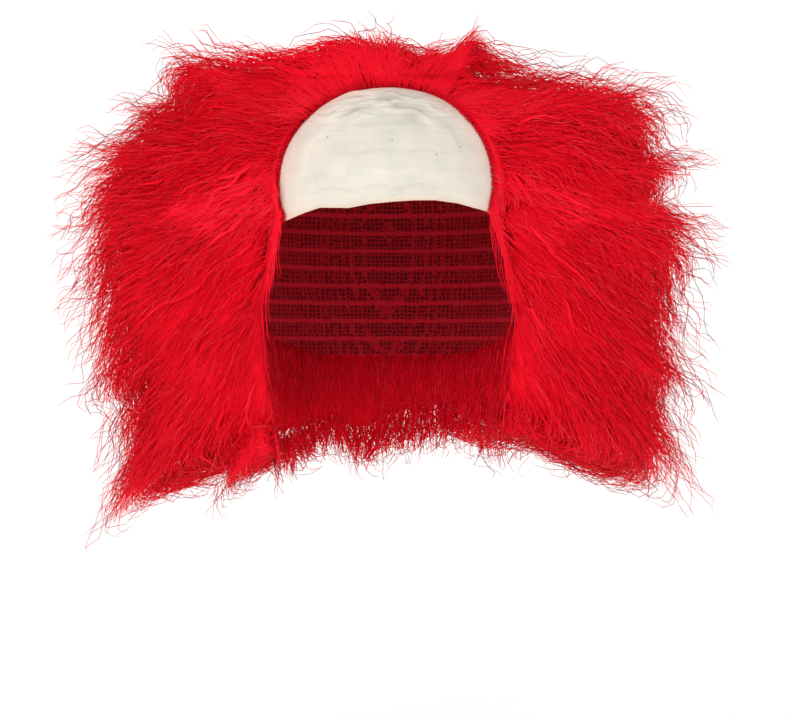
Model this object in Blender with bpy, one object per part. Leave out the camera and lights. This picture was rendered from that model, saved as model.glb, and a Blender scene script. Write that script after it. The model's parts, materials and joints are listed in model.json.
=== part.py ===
"""A clown wig: a thin latex bald pate in front, and teased hair sewn to a cap round its sides, crown and back.

The wearer looks along -Y, +X is at the viewer's right, and +Z is up. The origin is the middle of the head's widest
ring, level with the front rim of the pate, where a head carries the wig.
"""
import math

import bmesh
import bpy
from mathutils import Vector

# The head that the wig fits, in metres. It is a half ellipsoid above the origin and a longer one below it.
HEAD_HALF_WIDTH = 0.078
HEAD_HALF_LENGTH = 0.099
CROWN_HEIGHT = 0.076
HEAD_TAPER = 0.260

# Walls and clearances
LATEX_WALL = 0.0012
CAP_WALL = 0.0020
GAP = 0.0003
SEAM_LAP = 0.012
HAIR_OVERHANG = 0.004
FACE_CLEARANCE = 0.002
FACE_FLARE = 2.2

# The edges of the pate and of the sewn cap
RIM_WAVE = 0.005
CAP_SIDE_DROP = 0.066
NAPE_DROP = 0.086
SHELL_DROP = 0.120

# The hair's reach from the origin, out to the tips of its locks
HAIR_HALF_WIDTH = 0.190
HAIR_RISE = 0.108
HAIR_DROP = 0.190
HAIR_FRONT = 0.060
HAIR_BACK = 0.172
MASS_SHARE = 0.96
BACK_FULLNESS = 0.88
LOCK_HALF_WIDTH = 0.024
LOCK_HALF_THICKNESS = 0.014

# Where the hair is parted into the pieces that are sewn on one by one
CROWN_BANK = math.radians(38)
SIDE_END = 0.043
CUTTER_REACH = 0.6

# The front edge of the sewn cap, seen from the side: back is a share of HEAD_HALF_LENGTH, up of CROWN_HEIGHT
HAIRLINE = (
    # back, up
    (0.02, 1.10),
    (-0.08, 0.98),
    (-0.21, 0.87),
    (-0.31, 0.76),
    (-0.39, 0.62),
    (-0.46, 0.47),
    (-0.54, 0.29),
    (-0.61, 0.10),
    (-0.67, -0.03),
)

# Its edge from the temple past the ear: back is a share of HEAD_HALF_LENGTH, down of CAP_SIDE_DROP
TEMPLE_EDGE = (
    # back, down
    (-0.58, 0.28),
    (-0.45, 0.58),
    (-0.33, 0.82),
    (-0.15, 0.97),
    (0.15, 1.00),
)

# The front rim of the pate, seen from the front: side is a share of HEAD_HALF_WIDTH, up of RIM_WAVE
RIM = (
    # side, up
    (-1.20, -1.00),
    (-0.77, -0.90),
    (-0.66, -0.50),
    (-0.48, 0.00),
    (-0.18, 0.20),
    (0.10, 0.30),
    (0.32, 0.50),
    (0.54, 0.56),
    (0.66, 0.30),
    (0.77, -0.10),
    (1.20, -0.20),
)

# The outline of the hair seen from the front, from the neck at the left, over the top, to the neck at the right:
# side is a share of HAIR_HALF_WIDTH, up of HAIR_RISE above the origin and of HAIR_DROP below it, and full is the share
# of the way there at which the hair stops being opaque
OUTLINE = (
    # side, up, full
    (-0.28, -0.84, 0.82),
    (-0.46, -0.90, 0.80),
    (-0.66, -0.95, 0.80),
    (-0.86, -0.93, 0.92),
    (-0.91, -0.74, 0.90),
    (-0.92, -0.52, 0.91),
    (-0.94, -0.30, 0.93),
    (-0.96, -0.06, 0.92),
    (-0.95, 0.20, 0.94),
    (-0.89, 0.50, 0.90),
    (-0.77, 0.74, 0.81),
    (-0.62, 0.88, 0.88),
    (-0.44, 0.95, 0.93),
    (-0.23, 0.97, 0.94),
    (0.00, 0.97, 0.97),
    (0.23, 0.96, 0.97),
    (0.46, 0.94, 0.86),
    (0.66, 0.88, 0.85),
    (0.84, 0.74, 0.90),
    (0.94, 0.48, 0.83),
    (0.98, 0.16, 0.81),
    (1.00, -0.10, 0.86),
    (1.00, -0.33, 0.85),
    (0.99, -0.55, 0.89),
    (0.95, -0.76, 0.92),
    (0.88, -0.91, 0.86),
    (0.68, -0.91, 0.75),
    (0.46, -0.87, 0.72),
    (0.28, -0.82, 0.72),
)

# The locks that stand out of the outline: along is 0 at its left end and 1 at its right end, reach is a share of
# the outline there, and droop is how far the lock sags, as a share of its length
OUTLINE_LOCKS = (
    # along, reach, droop
    (0.035, 1.03, 0.10),
    (0.080, 1.00, 0.10),
    (0.118, 1.13, 0.08),
    (0.170, 0.93, 0.10),
    (0.205, 1.03, 0.12),
    (0.240, 0.96, 0.14),
    (0.280, 1.04, 0.16),
    (0.322, 1.00, 0.14),
    (0.362, 1.05, 0.10),
    (0.402, 1.07, 0.04),
    (0.440, 1.00, 0.02),
    (0.480, 1.05, 0.00),
    (0.520, 1.00, 0.00),
    (0.556, 1.08, 0.00),
    (0.594, 1.02, 0.04),
    (0.634, 1.08, 0.08),
    (0.668, 1.04, 0.12),
    (0.704, 0.98, 0.14),
    (0.742, 1.08, 0.16),
    (0.776, 1.00, 0.16),
    (0.812, 1.10, 0.12),
    (0.845, 0.94, 0.10),
    (0.885, 1.10, 0.08),
    (0.925, 0.98, 0.10),
    (0.965, 1.04, 0.10),
)

# The rows of locks behind and before that outline: depth is the turn from the outline towards the back, in
# degrees, reach is a share of the hair's surface there, and droop is as above
LOCK_ROWS = (
    # depth, count, first along, last along, reach, droop
    (-64, 7, 0.08, 0.36, 1.04, 0.06),
    (-64, 7, 0.64, 0.92, 1.04, 0.06),
    (-38, 11, 0.01, 0.37, 1.00, 0.10),
    (-38, 11, 0.63, 0.99, 1.00, 0.10),
    (9, 17, 0.03, 0.97, 1.02, 0.10),
    (20, 16, 0.01, 0.99, 1.03, 0.12),
    (34, 15, -0.04, 1.04, 1.04, 0.14),
    (48, 13, -0.05, 1.05, 1.04, 0.17),
    (63, 11, -0.06, 1.06, 1.05, 0.20),
    (79, 6, 0.04, 0.96, 1.05, 0.24),
)

SHELL_SIDES = 40
ROWS_ABOVE = 9
ROWS_BELOW = 4
OUTLINE_POINTS = 42
DEPTH_TURNS = (-90, -66, -42, -18, 4, 24, 42, 58, 74, 90)
SIDE_ROUNDNESS = 0.75
HANG_ROUNDNESS = 0.40
LOCK_SIDES = 5
LOCK_START = 0.42
# How wide a lock is along its length, from inside the mass to near the tip
LOCK_SWELL = (0.85, 1.00, 0.95, 0.65)
LOCK_LIFT = 0.42
ROOT_BANK_SHARE = 0.62
REACH_WOBBLE = 0.05
FULLNESS_TURN = math.radians(22)


def clear_scene():
    for old in list(bpy.data.objects):
        bpy.data.objects.remove(old, do_unlink=True)


def material(name, colour, roughness):
    made = bpy.data.materials.new(name)
    made.use_nodes = True
    shader = made.node_tree.nodes["Principled BSDF"]
    shader.inputs["Base Color"].default_value = (*colour, 1.0)
    shader.inputs["Roughness"].default_value = roughness
    shader.inputs["Metallic"].default_value = 0.0
    return made


def add_loft(bm, rings):
    """Skins the rings one after another. A ring of one point closes to it, and a wider end ring gets a flat cap."""
    rows = [[bm.verts.new(point) for point in ring] for ring in rings]
    for here, there in zip(rows, rows[1:]):
        count = max(len(here), len(there))
        for i in range(count):
            j = (i + 1) % count
            if len(here) == 1:
                bm.faces.new((here[0], there[i], there[j]))
            elif len(there) == 1:
                bm.faces.new((here[i], there[0], here[j]))
            else:
                bm.faces.new((here[i], there[i], there[j], here[j]))
    for end in (rows[0], rows[-1]):
        if len(end) > 2:
            bm.faces.new(end)


def new_object(name, lofts, look=None, smooth=True):
    """One object with one closed skin for each list of rings. With no look it is a cutter, which isn't rendered."""
    bm = bmesh.new()
    for rings in lofts:
        add_loft(bm, rings)
    bmesh.ops.recalc_face_normals(bm, faces=bm.faces)
    mesh = bpy.data.meshes.new(name)
    bm.to_mesh(mesh)
    bm.free()
    made = bpy.data.objects.new(name, mesh)
    bpy.context.scene.collection.objects.link(made)
    if look is None:
        made.hide_render = True
        made.display_type = "WIRE"
    else:
        mesh.materials.append(look)
        if smooth:
            mesh.shade_smooth()
            mesh.set_sharp_from_angle(angle=math.radians(50))
    return made


def add_boolean(target, operation, other, solver="EXACT"):
    """Cuts the target with an object, or joins a whole collection of overlapping shapes to it."""
    cut = target.modifiers.new(operation.title() + " " + other.name, "BOOLEAN")
    cut.operation = operation
    cut.solver = solver
    if isinstance(other, bpy.types.Collection):
        cut.operand_type = "COLLECTION"
        cut.collection = other
    else:
        cut.object = other


def head_ring(level, offset):
    """The ring of the head at this angle above the origin's plane, moved out by offset."""
    height = CROWN_HEIGHT if level >= 0 else HEAD_TAPER
    up = (height + offset) * math.sin(level)
    out = math.cos(level)
    if out < 1e-6:
        return [(0.0, 0.0, up)]
    turns = [2 * math.pi * i / SHELL_SIDES for i in range(SHELL_SIDES)]
    half_width = HEAD_HALF_WIDTH + offset
    half_length = HEAD_HALF_LENGTH + offset
    return [(half_width * out * math.sin(t), half_length * out * math.cos(t), up) for t in turns]


def shell_levels(lowest):
    """Angles from the crown down to the origin's plane, and on down to a lowest angle."""
    above = [math.pi / 2 * (1 - i / ROWS_ABOVE) for i in range(ROWS_ABOVE)]
    above[0] = math.pi / 2
    below = [-lowest * i / ROWS_BELOW for i in range(ROWS_BELOW + 1)]
    return above + below


def bowl_rings(inner, outer):
    """A bowl's outer skin from the crown down, then its inner skin back up."""
    levels = shell_levels(math.asin(SHELL_DROP / HEAD_TAPER))
    outside = [head_ring(level, outer) for level in levels]
    inside = [head_ring(level, inner) for level in reversed(levels)]
    return outside + inside


def head_form_rings(offset):
    """The whole head and neck as a solid, with the bowl's own facets down to the bowl's end."""
    levels = shell_levels(math.asin(SHELL_DROP / HEAD_TAPER))
    levels += [math.radians(-turn) for turn in (42, 56, 70, 90)]
    return [head_ring(level, offset) for level in levels]


def across(points):
    """A prism that runs along X, from points of (back, up)."""
    return [[(x, y, z) for y, z in points] for x in (-CUTTER_REACH, CUTTER_REACH)]


def along_depth(points, front, back):
    """A prism that runs along Y from front to back, from points of (side, up)."""
    return [[(x, y, z) for x, z in points] for y in (front, back)]


def hairline(shift):
    """The hairline seen from the side, as (back, up) points from the top down, moved back by shift."""
    return [(back * HEAD_HALF_LENGTH + shift, up * CROWN_HEIGHT) for back, up in HAIRLINE]


def temple_edge(shift):
    return [(back * HEAD_HALF_LENGTH + shift, -down * CAP_SIDE_DROP) for back, down in TEMPLE_EDGE]


def before_edge(edge):
    """Closes an edge, seen from the side, into the outline of all that lies in front of it or below it."""
    far = CUTTER_REACH
    return [(edge[0][0], far), *edge, (edge[-1][0], -far), (-far, -far), (-far, far)]


def cap_edge_cutter():
    """All that lies in front of the sewn cap's hairline, and below its edge round the ears and the nape."""
    edge = hairline(0) + temple_edge(0)
    nape = HEAD_HALF_LENGTH + CAP_WALL
    edge += [(nape * 0.75, -NAPE_DROP * 0.94), (nape * 1.5, -NAPE_DROP)]
    return new_object("cap_edge_cutter", [across(before_edge(edge))])


def pate_keeper():
    """All that lies in front of the pate's back edge, which runs under the sewn cap by the lap of the seam."""
    edge = hairline(SEAM_LAP)
    return new_object("pate_keeper", [across(before_edge(edge))])


def rim_cutter():
    """All that lies below the pate's front rim."""
    rim = [(side * HEAD_HALF_WIDTH, up * RIM_WAVE) for side, up in RIM]
    below = [(rim[-1][0], -CUTTER_REACH), (rim[0][0], -CUTTER_REACH)]
    return new_object("rim_cutter", [along_depth(rim + below, -CUTTER_REACH, CUTTER_REACH)])


def face_cutter():
    """All that lies in front of the hair: the pate and, below it, the open face. It widens forwards, so that the
    hair beside the face swells ahead of its own front edge."""
    far = CUTTER_REACH
    near_side = HEAD_HALF_WIDTH + LATEX_WALL + CAP_WALL + FACE_CLEARANCE
    far_side = near_side + FACE_FLARE * far
    edge = hairline(-HAIR_OVERHANG) + temple_edge(-HAIR_OVERHANG)[:3]
    edge = [(edge[0][0], far), *edge, (edge[-1][0], -far)]
    rings = [
        [(-near_side, y, z), (near_side, y, z), (far_side, y - far, z), (-far_side, y - far, z)]
        for y, z in edge
    ]
    return new_object("face_cutter", [rings])


def outline_corner(row):
    side, up, _ = OUTLINE[min(max(row, 0), len(OUTLINE) - 1)]
    return Vector((side * HAIR_HALF_WIDTH, 0.0, up * (HAIR_RISE if up > 0 else HAIR_DROP)))


def outline_at(along):
    """The point of the outline's smooth curve at a share of its length. Past its ends it runs on below the neck."""
    place = along * (len(OUTLINE) - 1)
    if place < 0 or place > len(OUTLINE) - 1:
        last = outline_corner(0 if place < 0 else len(OUTLINE) - 1)
        beyond = max(-place, place - len(OUTLINE) + 1)
        return last + Vector((-last.x * min(beyond * 0.4, 1.0), 0.0, 0.0))
    row = min(int(place), len(OUTLINE) - 2)
    t = place - row
    a, b, c, d = (outline_corner(row + step) for step in (-1, 0, 1, 2))
    return 0.5 * (2 * b + (c - a) * t + (2 * a - 5 * b + 4 * c - d) * t * t + (3 * b - a - 3 * c + d) * t ** 3)


def hair_surface(along, depth, reach):
    """A point at a share of the hair's reach: along the outline, and turned by depth from its plane to the back."""
    flat = outline_at(along)
    shrink = max(math.cos(depth), 0.0)
    across_share = shrink ** SIDE_ROUNDNESS
    up_share = shrink ** (SIDE_ROUNDNESS if flat.z > 0 else HANG_ROUNDNESS)
    span = HAIR_BACK if depth > 0 else HAIR_FRONT
    return Vector((flat.x * across_share, span * math.sin(depth), flat.z * up_share)) * reach


def fullness(along, depth):
    """The share of the hair's reach that is opaque. It follows the outline in front and is even behind."""
    place = min(max(along, 0.0), 1.0) * (len(OUTLINE) - 1)
    row = min(int(place), len(OUTLINE) - 2)
    front = OUTLINE[row][2] + (OUTLINE[row + 1][2] - OUTLINE[row][2]) * (place - row)
    behind = min(max((abs(depth) - FULLNESS_TURN) / FULLNESS_TURN, 0.0), 1.0)
    return front + (BACK_FULLNESS - front) * behind


def mass_rings():
    """The dense body of the hair, from its front to its back. The locks stand out of it."""
    rings = []
    for turn in DEPTH_TURNS:
        shares = [i / (OUTLINE_POINTS - 1) for i in range(OUTLINE_POINTS)]
        if abs(turn) == 90:
            shares = [0.5]
        depth = math.radians(turn)
        rings.append([hair_surface(share, depth, MASS_SHARE * fullness(share, depth)) for share in shares])
    return rings


def root_of(tip, depth):
    """The place on the head where the lock that ends at this tip is sewn on."""
    bank = math.atan2(tip.x, tip.z) * ROOT_BANK_SHARE
    back = 0.30 + 0.62 * math.sin(depth) if depth > 0 else 0.0
    out = math.sqrt(1 - back * back)
    height = CROWN_HEIGHT if math.cos(bank) > 0 else HEAD_TAPER * 0.4
    return Vector((
        HEAD_HALF_WIDTH * out * math.sin(bank),
        HEAD_HALF_LENGTH * back,
        height * out * math.cos(bank),
    ))


def lock_rings(along, depth, reach, droop, width=1.0):
    """A lock as rings from inside the hair's body to its tip, flat against the body and bending down as it sags."""
    tip = hair_surface(along, depth, reach)
    root = root_of(tip, depth)
    length = (tip - root).length
    lift = root.normalized() * LOCK_LIFT * length + Vector((0.0, 0.0, droop * length))
    bend = root + lift
    overall = (tip - root).normalized()
    facing = Vector((0.0, 1.0, 0.0)) if abs(overall.y) < 0.8 else Vector((0.0, 0.0, 1.0))
    flat = facing.cross(overall).normalized()
    turns = [2 * math.pi * k / LOCK_SIDES for k in range(LOCK_SIDES)]
    rings = []
    for i, swell in enumerate(LOCK_SWELL):
        t = LOCK_START + (1 - LOCK_START) * i / len(LOCK_SWELL)
        middle = root * (1 - t) ** 2 + bend * 2 * t * (1 - t) + tip * t * t
        forward = ((bend - root) * (1 - t) + (tip - bend) * t).normalized()
        thick = flat.cross(forward).normalized()
        wide = forward.cross(thick)
        rings.append([
            middle
            + wide * (LOCK_HALF_WIDTH * width * swell * math.cos(turn))
            + thick * (LOCK_HALF_THICKNESS * width * swell * math.sin(turn))
            for turn in turns
        ])
    rings.append([tip])
    return rings


def all_locks():
    """Each lock's place and shape, as (tip, rings)."""
    locks = []
    for along, reach, droop in OUTLINE_LOCKS:
        rings = lock_rings(along, math.radians(-6), reach, droop)
        locks.append((rings[-1][0], rings))
    for row, (depth, count, first, last, reach, droop) in enumerate(LOCK_ROWS):
        for i in range(count):
            along = first + (last - first) * i / (count - 1)
            uneven = reach * (1 + REACH_WOBBLE * math.sin(2.4 * i + 1.7 * row))
            rings = lock_rings(along, math.radians(depth), uneven, droop, 0.9)
            locks.append((rings[-1][0], rings))
    return locks


def sector_prisms():
    """The space of each piece of hair. Flat partings through the head's long axis leave a gap between them."""
    far = CUTTER_REACH
    high = (far * math.sin(CROWN_BANK), far * math.cos(CROWN_BANK))
    shift = GAP / math.sin(CROWN_BANK)
    crown = [(0.0, shift), (-high[0], high[1] + shift), (high[0], high[1] + shift)]
    left = [(-GAP, 0.0), (-GAP, -far), (-far, -far), (-far, high[1]), (-high[0], high[1])]
    right = [(-x, z) for x, z in left]
    side_end = SIDE_END - GAP / 2
    square = [(-far, -far), (-far, far), (far, far), (far, -far)]
    return {
        "hair_crown": along_depth(crown, -far, side_end),
        "hair_left": along_depth(left, -far, side_end),
        "hair_right": along_depth(right, -far, side_end),
        "hair_back": along_depth(square, SIDE_END + GAP / 2, far),
    }


def piece_of(tip):
    """The piece of hair whose space holds this tip."""
    if tip.y > SIDE_END:
        return "hair_back"
    if abs(math.atan2(tip.x, tip.z)) < CROWN_BANK:
        return "hair_crown"
    return "hair_left" if tip.x < 0 else "hair_right"


def build_pate(latex):
    pate = new_object("latex_pate", [bowl_rings(0.0, LATEX_WALL)], latex)
    add_boolean(pate, "INTERSECT", pate_keeper())
    add_boolean(pate, "DIFFERENCE", rim_cutter())


def build_sewn_cap(cloth):
    inner = LATEX_WALL + GAP
    cap = new_object("sewn_cap", [bowl_rings(inner, inner + CAP_WALL)], cloth)
    add_boolean(cap, "DIFFERENCE", cap_edge_cutter())


def build_locks(name, locks):
    """The locks of one piece of hair, as a collection of closed shapes that the piece joins to itself."""
    group = bpy.data.collections.new(name + "_locks")
    bpy.context.scene.collection.children.link(group)
    for number, rings in enumerate(locks):
        lock = new_object(f"{name}_lock_{number}", [rings])
        bpy.context.scene.collection.objects.unlink(lock)
        group.objects.link(lock)
    return group


def build_hair(look):
    """Overlapping locks leave slivers that stop the exact solver, so the hair is joined and cut by the manifold one."""
    head = new_object("head_cutter", [head_form_rings(LATEX_WALL + CAP_WALL + 2 * GAP)])
    face = face_cutter()
    locks = all_locks()
    for name, prism in sector_prisms().items():
        own = [rings for tip, rings in locks if piece_of(tip) == name]
        hair = new_object(name, [mass_rings()], look)
        add_boolean(hair, "UNION", build_locks(name, own), "MANIFOLD")
        add_boolean(hair, "INTERSECT", new_object(name + "_space", [prism]), "MANIFOLD")
        add_boolean(hair, "DIFFERENCE", head, "MANIFOLD")
        add_boolean(hair, "DIFFERENCE", face, "MANIFOLD")


def main():
    clear_scene()
    build_pate(material("cream_latex", (0.83, 0.79, 0.69), 0.45))
    build_sewn_cap(material("red_net_cloth", (0.35, 0.01, 0.02), 0.80))
    build_hair(material("red_synthetic_hair", (0.64, 0.002, 0.012), 0.50))


main()
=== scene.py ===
# %% [markdown]
# # A clown wig with a bald pate
#
# The real wig is a thin latex cap over the forehead and crown, glued to a net cap behind it. Long red
# synthetic fibre is sewn to the net and teased with a comb until it stands out to the sides. This lesson
# dresses the plain solids of such a wig: it loads them, sets up a small photo studio, and then makes each
# surface and each layer of hair.

# %% Load the frame
import json
import math

import bpy
import numpy as np
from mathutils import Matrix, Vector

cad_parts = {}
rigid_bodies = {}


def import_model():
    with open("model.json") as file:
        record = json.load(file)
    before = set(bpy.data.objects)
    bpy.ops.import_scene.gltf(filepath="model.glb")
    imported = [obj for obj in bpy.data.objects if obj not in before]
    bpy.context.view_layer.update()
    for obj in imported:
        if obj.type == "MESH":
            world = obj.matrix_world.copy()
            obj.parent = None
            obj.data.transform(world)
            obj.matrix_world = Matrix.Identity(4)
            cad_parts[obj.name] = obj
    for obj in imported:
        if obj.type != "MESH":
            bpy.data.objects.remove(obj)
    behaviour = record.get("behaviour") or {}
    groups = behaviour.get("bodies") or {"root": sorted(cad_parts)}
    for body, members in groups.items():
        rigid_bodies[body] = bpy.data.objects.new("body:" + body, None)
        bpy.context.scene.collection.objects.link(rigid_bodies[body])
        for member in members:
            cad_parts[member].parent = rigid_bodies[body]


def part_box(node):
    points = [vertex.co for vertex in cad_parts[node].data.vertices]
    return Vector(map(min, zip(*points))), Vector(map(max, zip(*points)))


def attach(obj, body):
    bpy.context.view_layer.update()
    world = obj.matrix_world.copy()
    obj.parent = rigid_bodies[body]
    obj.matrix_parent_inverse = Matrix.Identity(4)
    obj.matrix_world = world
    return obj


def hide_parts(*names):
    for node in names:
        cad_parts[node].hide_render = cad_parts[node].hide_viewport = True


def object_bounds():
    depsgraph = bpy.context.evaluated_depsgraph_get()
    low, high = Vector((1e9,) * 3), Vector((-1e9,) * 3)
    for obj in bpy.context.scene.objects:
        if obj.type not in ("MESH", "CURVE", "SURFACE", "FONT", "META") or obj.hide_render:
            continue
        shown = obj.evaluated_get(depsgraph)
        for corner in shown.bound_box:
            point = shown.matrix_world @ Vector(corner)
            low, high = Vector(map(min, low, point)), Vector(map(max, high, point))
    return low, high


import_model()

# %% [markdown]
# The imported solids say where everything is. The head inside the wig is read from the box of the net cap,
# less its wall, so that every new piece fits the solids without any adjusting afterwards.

MM = 0.001
# the head lies this far inside the outside of the net cap
CAP_OUTSIDE = 0.0035
cad_low, cad_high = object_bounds()
cap_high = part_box("sewn_cap")[1]
HEAD_HALF_WIDTH = cap_high.x - CAP_OUTSIDE
HEAD_HALF_LENGTH = cap_high.y - CAP_OUTSIDE
CROWN_HEIGHT = cap_high.z - CAP_OUTSIDE
# below its widest ring the head narrows as an ellipsoid of this half height would
HEAD_TAPER = 0.260
print("the wig's box in mm", [round(v / MM, 1) for v in (*cad_low, *cad_high)])
print("the head in mm", [round(v / MM, 1) for v in (HEAD_HALF_WIDTH, HEAD_HALF_LENGTH, CROWN_HEIGHT)])

# %% [markdown]
# Colours are written as the hex values that a paint program shows. Cycles works in linear light, so one
# function turns them. A second small function adds a node with its settings, its links and a ramp's stops,
# which keeps each material short.

# %% Colours and nodes


def linear(hex_colour):
    """The linear RGBA of an sRGB hex colour."""
    parts = [int(hex_colour[i:i + 2], 16) / 255 for i in (1, 3, 5)]
    return (*[p / 12.92 if p <= 0.04045 else ((p + 0.055) / 1.055) ** 2.4 for p in parts], 1.0)


def new_material(name, roughness):
    """An opaque material with its node tree and its shader."""
    made = bpy.data.materials.new(name)
    made.use_nodes = True
    shader = made.node_tree.nodes["Principled BSDF"]
    shader.inputs["Roughness"].default_value = roughness
    return made, made.node_tree, shader


def add_node(tree, kind, settings=None, values=None, links=None, stops=()):
    """Adds a node with its options, unlinked sockets, links and, on a ramp, (position, hex colour) stops."""
    node = tree.nodes.new(kind)
    for name, value in (settings or {}).items():
        setattr(node, name, value)
    for socket, value in (values or {}).items():
        node.inputs[socket].default_value = value
    for socket, source in (links or {}).items():
        tree.links.new(source, node.inputs[socket])
    for number, (position, hex_colour) in enumerate(stops):
        if number == len(node.color_ramp.elements):
            node.color_ramp.elements.new(1.0)
        node.color_ramp.elements[number].position = position
        node.color_ramp.elements[number].color = linear(hex_colour)
    return node


print("white in linear light is", linear("#FFFFFF"))

# %% [markdown]
# The wig hangs in the air as a head would hold it, so the floor lies a little below its longest tips. The
# floor runs back and curves up into a wall. Catalogue pictures get their clean white from a sheet of milky
# acrylic that is lit from behind. To the eye it is matt and even, so the material is rough, nearly white,
# and gives off a little light of its own, which is the same everywhere.

# %% Studio floor
FLOOR_DROP = 0.16
FLOOR_LEVEL = cad_low.z - FLOOR_DROP
FLOOR_REACH = 4.0
SWEEP_RADIUS = 1.2
SWEEP_STEPS = 48
SWEEP_GLOW = 0.16


def studio_sweep():
    bpy.ops.object.select_all(action="DESELECT")
    bpy.ops.mesh.primitive_grid_add(x_subdivisions=2, y_subdivisions=SWEEP_STEPS, size=2, location=(0, 0, 0))
    sweep = bpy.context.object
    sweep.name = "studio_sweep"
    for vertex in sweep.data.vertices:
        run = (vertex.co.y + 1) * FLOOR_REACH
        vertex.co.x *= FLOOR_REACH
        bend = min(max((run - FLOOR_REACH) / SWEEP_RADIUS, 0.0), math.pi / 2)
        past = max(run - FLOOR_REACH - SWEEP_RADIUS * math.pi / 2, 0.0)
        vertex.co.y = min(run, FLOOR_REACH) - FLOOR_REACH / 2 + SWEEP_RADIUS * math.sin(bend)
        vertex.co.z = FLOOR_LEVEL + SWEEP_RADIUS * (1 - math.cos(bend)) + past
    sweep.data.shade_smooth()
    made, tree, shader = new_material("milky_acrylic", 0.9)
    shader.inputs["Base Color"].default_value = linear("#FBFBFB")
    shader.inputs["Emission Color"].default_value = linear("#FFFFFF")
    shader.inputs["Emission Strength"].default_value = SWEEP_GLOW
    sweep.data.materials.append(made)
    return sweep


studio_sweep()
print("floor at", round(FLOOR_LEVEL, 3), "m")

# %% [markdown]
# A portrait lens from nearly two metres keeps the depth of the hair flat, as in a catalogue picture. The
# camera is level, and its height and its side step put the middle of the head's ring where the picture has
# it.

# %% Camera
CAMERA_DISTANCE = 1.8
PICTURE_WIDTH_PX = 790
METRES_PER_PX = 0.597 * MM
PICTURE_MIDDLE_X = 0.004
PICTURE_MIDDLE_Z = -0.085

bpy.ops.object.camera_add(location=(PICTURE_MIDDLE_X, -CAMERA_DISTANCE, PICTURE_MIDDLE_Z))
camera = bpy.context.object
camera.rotation_euler = (math.radians(90), 0, 0)
camera.data.lens = camera.data.sensor_width * CAMERA_DISTANCE / (PICTURE_WIDTH_PX * METRES_PER_PX)
bpy.context.scene.camera = camera
print("lens", round(camera.data.lens, 1), "mm")

# %% [markdown]
# The light is soft and comes from everywhere: a white room, a large panel in front and above, and weaker
# panels at the sides that lift the edges of the hair. The standard view transform keeps the red as strong
# as it is set.

# %% Light
PANELS = (
    # name, place, size, power in watts
    ("front_panel", (-0.7, -2.0, 1.1), 0.8, 13),
    ("left_panel", (-2.0, -0.6, 0.4), 1.2, 5),
    ("right_panel", (2.0, -0.6, 0.4), 1.2, 5),
)
ROOM_STRENGTH = 0.80


def light_studio():
    for name, place, size, power in PANELS:
        bpy.ops.object.light_add(type="AREA", location=place)
        panel = bpy.context.object
        panel.name = name
        panel.data.size = size
        panel.data.energy = power
        toward = -np.array(place) / np.linalg.norm(place)
        panel.rotation_euler = (
            math.acos(-toward[2]),
            0.0,
            math.atan2(toward[1], toward[0]) - math.pi / 2,
        )
    room = bpy.data.worlds.new("white_room")
    room.use_nodes = True
    room.node_tree.nodes["Background"].inputs["Color"].default_value = linear("#FFFFFF")
    room.node_tree.nodes["Background"].inputs["Strength"].default_value = ROOM_STRENGTH
    bpy.context.scene.world = room
    bpy.context.scene.view_settings.view_transform = "Standard"


light_studio()
print(len(PANELS), "light panels")

# %% [markdown]
# ## The forms that the wig is built on
#
# Two curves give the wig its shape. The hairline is the front edge of the net cap, seen from the side. The
# outline is the reach of the teased hair, seen from the front. They are the same curves, and the same
# shares of the same sizes, that the solids were built from, so what is made here lies on the solids from
# every side.

# %% The hairline and the outline
HAIR_HALF_WIDTH = 0.190
HAIR_RISE = 0.108
HAIR_DROP = 0.190
HAIR_FRONT = 0.060
HAIR_BACK = 0.172
CAP_SIDE_DROP = 0.066
HAIR_OVERHANG = 0.004
SIDE_ROUNDNESS = 0.75
HANG_ROUNDNESS = 0.40

# back is a share of the head's half length, up is a share of the crown's height
HAIRLINE = np.array((
    # back, up
    (0.02, 1.10), (-0.08, 0.98), (-0.21, 0.87), (-0.31, 0.76), (-0.39, 0.62),
    (-0.46, 0.47), (-0.54, 0.29), (-0.61, 0.10), (-0.67, -0.03),
))
# back is a share of the head's half length, down is a share of the cap's drop at the sides
TEMPLE_EDGE = np.array((
    # back, down
    (-0.58, 0.28), (-0.45, 0.58), (-0.33, 0.82), (-0.15, 0.97), (0.15, 1.00),
))
# side is a share of the hair's half width, up is a share of its rise, or below the ring of its drop
OUTLINE = np.array((
    # side, up
    (-0.28, -0.84), (-0.46, -0.90), (-0.66, -0.95), (-0.86, -0.93), (-0.91, -0.74), (-0.92, -0.52),
    (-0.94, -0.30), (-0.96, -0.06), (-0.95, 0.20), (-0.89, 0.50), (-0.77, 0.74), (-0.62, 0.88),
    (-0.44, 0.95), (-0.23, 0.97), (0.00, 0.97), (0.23, 0.96), (0.46, 0.94), (0.66, 0.88), (0.84, 0.74),
    (0.94, 0.48), (0.98, 0.16), (1.00, -0.10), (1.00, -0.33), (0.99, -0.55), (0.95, -0.76),
    (0.88, -0.91), (0.68, -0.91), (0.46, -0.87), (0.28, -0.82),
))


def front_edge(up):
    """How far back the net cap's front edge is, at each height."""
    backs = np.concatenate((HAIRLINE[:, 0], TEMPLE_EDGE[:, 0])) * HEAD_HALF_LENGTH
    heights = np.concatenate((HAIRLINE[:, 1] * CROWN_HEIGHT, -TEMPLE_EDGE[:, 1] * CAP_SIDE_DROP))
    return np.interp(up, heights[::-1], backs[::-1])


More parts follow.
